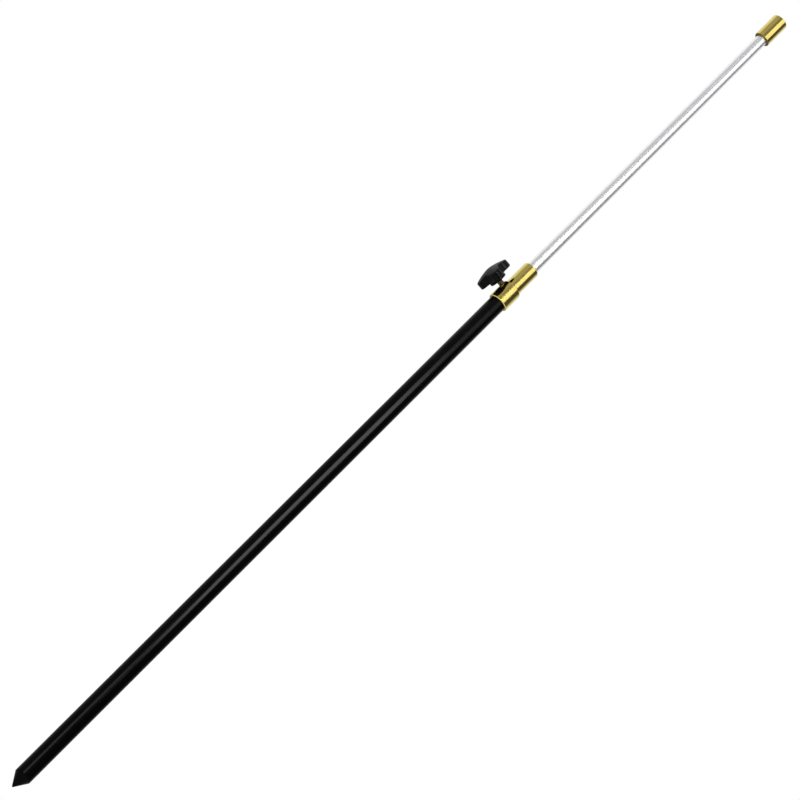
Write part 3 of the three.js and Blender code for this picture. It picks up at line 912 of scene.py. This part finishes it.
# Lamps that light the stick and its floor: share of the key's power, width and place in metres
LAMPS = {
    "key_lamp": (1.0, 1.2, Vector((-1.3, -1.5, 2.2))),
    "fill_lamp": (0.4, 1.6, Vector((1.8, -0.6, 1.6))),
}
LAMP_TARGET = Vector((0.0, 0.0, 0.5))

# The floor, in metres: its reach, and the distances between which it runs into the white background
FLOOR_RADIUS = 6.0
FADE_FROM, FADE_TO = 0.7, 3.0


def facing(azimuth, elevation=0.0):
    """Unit vector towards an azimuth and elevation in degrees. Azimuth 0 is the side of -Y."""
    a, e = math.radians(azimuth), math.radians(elevation)
    return Vector((math.sin(a) * math.cos(e), -math.cos(a) * math.cos(e), math.sin(e)))


def in_sight(tree):
    """1 for rays of the camera, of reflections and of clear material, and 0 for the light on things."""
    ray = add_node(tree, "ShaderNodeLightPath").outputs
    sight = add_node(tree, "ShaderNodeMath", {
        0: ray["Is Camera Ray"], 1: ray["Is Glossy Ray"]}, operation="MAXIMUM")
    return add_node(tree, "ShaderNodeMath", {
        0: sight, 1: ray["Is Transmission Ray"]}, operation="MAXIMUM")


def unseen(thing):
    """Leaves a piece of the studio to glossy rays alone."""
    thing.visible_camera = thing.visible_diffuse = thing.visible_shadow = False
    thing.visible_transmission = thing.visible_volume_scatter = False


def pitch_tent():
    """Stands the light tent round the stick. A colour ramp round the tent holds its levels."""
    steps = 120
    rim = [facing(360 * i / steps) * TENT_RADIUS for i in range(steps)]
    mesh = bpy.data.meshes.new("light_tent")
    mesh.from_pydata([(v.x, v.y, TENT_BOTTOM) for v in rim] + [(v.x, v.y, TENT_TOP) for v in rim], [],
                     [(i, (i + 1) % steps, steps + (i + 1) % steps, steps + i) for i in range(steps)])
    material, tree = new_material("light tent cloth")
    spot = add_node(tree, "ShaderNodeTexCoord").outputs["Object"]
    place = add_node(tree, "ShaderNodeSeparateXYZ", {0: spot}).outputs
    # A place's bearing as a share of a turn, which is a half on the camera's side
    ahead = add_node(tree, "ShaderNodeMath", {0: place[1], 1: -1.0}, operation="MULTIPLY")
    bearing = add_node(tree, "ShaderNodeMath", {0: place[0], 1: ahead}, operation="ARCTAN2")
    around = add_node(tree, "ShaderNodeMath", {
        0: bearing, 1: 1 / math.tau, 2: 0.5 - CAMERA_AZIMUTH / 360}, operation="MULTIPLY_ADD")
    share = add_node(tree, "ShaderNodeMath", {0: around, 1: 1.0}, operation="FLOORED_MODULO")
    # A ramp's colours end at 1, so it holds half of each level, and the strength doubles it
    ramp = add_node(tree, "ShaderNodeValToRGB", {"Fac": share})
    stops = ramp.color_ramp.elements
    while len(stops) < len(TENT):
        stops.new(0.5)
    for stop, (degrees, level) in zip(stops, TENT):
        stop.position = degrees / 360 + 0.5
        stop.color = (level / 2, level / 2, level / 2, 1.0)
    rise = add_node(tree, "ShaderNodeMapRange", {
        "Value": place[2], "From Min": SHADE_TOP, "From Max": LIGHT_FROM,
        "To Min": 2.0 * TENT_SHADE, "To Max": 2.0}, interpolation_type="SMOOTHSTEP")
    finish_surface(tree, add_node(tree, "ShaderNodeEmission", {"Color": ramp, "Strength": rise}))
    mesh.materials.append(material)
    unseen(new_object(mesh))


def hang_card(name, code, level, course):
    """Hangs a glowing card along its course."""
    columns = 9
    vertices, faces = [], []
    for degrees, height, width in course:
        for i in range(columns):
            across = degrees + width * (i / (columns - 1) - 0.5)
            spot = facing(CAMERA_AZIMUTH + across) * CARD_RADIUS
            vertices.append((spot.x, spot.y, height))
    for row in range(len(course) - 1):
        for i in range(columns - 1):
            low = row * columns + i
            faces.append((low, low + 1, low + columns + 1, low + columns))
    mesh = bpy.data.meshes.new(name)
    mesh.from_pydata(vertices, [], faces)
    material, tree = new_material(name)
    finish_surface(tree, add_node(tree, "ShaderNodeEmission", {"Color": linear(code), "Strength": level}))
    mesh.materials.append(material)
    unseen(new_object(mesh))


def lay_floor(settings):
    """A pale floor that is solid from above and clear from below, where the camera looks up past it."""
    sides = 64
    rim = [facing(360 * i / sides) * FLOOR_RADIUS for i in range(sides)]
    mesh = bpy.data.meshes.new("floor")
    mesh.from_pydata([(v.x, v.y, 0.0) for v in rim], [], [tuple(range(sides))])
    material, tree = new_material("pale floor")
    paint = add_node(tree, "ShaderNodeBsdfDiffuse", {"Color": tuple(settings.floor) + (1.0,)})
    # Far from the stick the floor runs into the white background
    white = add_node(tree, "ShaderNodeEmission", {"Color": WHITE, "Strength": 1.0})
    place = add_node(tree, "ShaderNodeTexCoord").outputs["Object"]
    away = add_node(tree, "ShaderNodeVectorMath", {0: place}, operation="LENGTH").outputs["Value"]
    fade = add_node(tree, "ShaderNodeMapRange", {
        "Value": away, "From Min": FADE_FROM, "From Max": FADE_TO},
        interpolation_type="SMOOTHSTEP")
    share = add_node(tree, "ShaderNodeMath", {0: fade, 1: in_sight(tree)}, operation="MULTIPLY")
    top = add_node(tree, "ShaderNodeMixShader", {0: share, 1: paint, 2: white})
    clear = add_node(tree, "ShaderNodeBsdfTransparent")
    below = add_node(tree, "ShaderNodeNewGeometry").outputs["Backfacing"]
    finish_surface(tree, add_node(tree, "ShaderNodeMixShader", {
        0: below, 1: top, 2: clear}))
    mesh.materials.append(material)
    new_object(mesh)


def light_world(settings):
    """White where the camera and reflections look, and a plain, lower light for everything else."""
    world = bpy.data.worlds.new("studio")
    bpy.context.scene.world = world
    world.use_nodes = True
    tree = world.node_tree
    tree.nodes.clear()
    plain = add_node(tree, "ShaderNodeBackground", {"Color": WHITE, "Strength": settings.fill})
    white = add_node(tree, "ShaderNodeBackground", {"Color": WHITE, "Strength": 1.0})
    mixed = add_node(tree, "ShaderNodeMixShader", {
        0: in_sight(tree), 1: plain, 2: white})
    add_node(tree, "ShaderNodeOutputWorld", {"Surface": mixed})


def hang_lamp(name, power, width, place):
    """A soft square lamp. It lights the stick and casts its shadow, and isn't mirrored in the gloss."""
    lamp = bpy.data.lights.new(name, "AREA")
    lamp.energy, lamp.size, lamp.shape = power, width, "SQUARE"
    thing = bpy.data.objects.new(name, lamp)
    bpy.context.scene.collection.objects.link(thing)
    thing.location = place
    thing.rotation_euler = (LAMP_TARGET - place).to_track_quat("-Z", "Y").to_euler()
    thing.visible_glossy = False


def aim_camera(settings):
    """Places the camera so that the stick runs up to the right at the photograph's angle."""
    back = facing(CAMERA_AZIMUTH, CAMERA_ELEVATION)
    up_stick = (Vector((0, 0, 1)) - back * back.z).normalized()
    aside = (-back).cross(up_stick)
    tilt = math.radians(STICK_TILT)
    right = up_stick * math.cos(tilt) + aside * math.sin(tilt)
    up = up_stick * math.sin(tilt) - aside * math.cos(tilt)
    camera = bpy.data.cameras.new("camera")
    camera.lens, camera.sensor_width, camera.clip_end = settings.lens, SENSOR_WIDTH, CAMERA_SIGHT
    thing = bpy.data.objects.new("camera", camera)
    bpy.context.scene.collection.objects.link(thing)
    place = Matrix((right, up, back)).transposed().to_4x4()
    place.translation = CAMERA_TARGET + back * CAMERA_DISTANCE
    thing.matrix_world = place
    bpy.context.scene.camera = thing


class BANKSTICK_OT_studio(Operator):
    """Lay the floor, pitch the tent, hang the lamps and aim the camera"""
    bl_idname = "bankstick.studio"
    bl_label = "Studio"

    def execute(self, context):
        settings = context.scene.bank_stick.studio
        context.scene.view_settings.view_transform = "Standard"
        light_world(settings)
        lay_floor(settings)
        pitch_tent()
        for name, (code, level, course) in CARDS.items():
            hang_card(name, code, level, course)
        for name, (share, width, place) in LAMPS.items():
            hang_lamp(name, settings.key * share, width, place)
        aim_camera(settings)
        return {"FINISHED"}


class BANKSTICK_PT_pieces(Panel):
    """Buttons for each piece and the studio"""
    bl_label = "Bank Stick"
    bl_space_type = "VIEW_3D"
    bl_region_type = "UI"
    bl_category = "Bank Stick"

    def draw(self, context):
        for operator in OPERATORS:
            self.layout.operator(operator.bl_idname)
        settings = context.scene.bank_stick
        for group in (settings.sizes, settings.finishes, settings.studio):
            box = self.layout.box()
            for name in group.__annotations__:
                box.prop(group, name)


OPERATORS = (
    BANKSTICK_OT_ground_point, BANKSTICK_OT_outer_tube, BANKSTICK_OT_clamp_collar,
    BANKSTICK_OT_clamp_screw, BANKSTICK_OT_clamp_knob, BANKSTICK_OT_inner_rod,
    BANKSTICK_OT_rod_guide, BANKSTICK_OT_top_socket, BANKSTICK_OT_studio,
)
CLASSES = (
    StickSizes, StickFinishes, StudioSettings, BankStickSettings, *OPERATORS, BANKSTICK_PT_pieces,
)


def register():
    for each in CLASSES:
        bpy.utils.register_class(each)
    bpy.types.Scene.bank_stick = PointerProperty(type=BankStickSettings)


def unregister():
    del bpy.types.Scene.bank_stick
    for each in reversed(CLASSES):
        bpy.utils.unregister_class(each)


def main():
    """Builds every piece and the studio."""
    register()
    bpy.ops.bankstick.ground_point()
    bpy.ops.bankstick.outer_tube()
    bpy.ops.bankstick.clamp_collar()
    bpy.ops.bankstick.clamp_screw()
    bpy.ops.bankstick.clamp_knob()
    bpy.ops.bankstick.inner_rod()
    bpy.ops.bankstick.rod_guide()
    bpy.ops.bankstick.top_socket()
    bpy.ops.bankstick.studio()


if __name__ == "__main__":
    main()
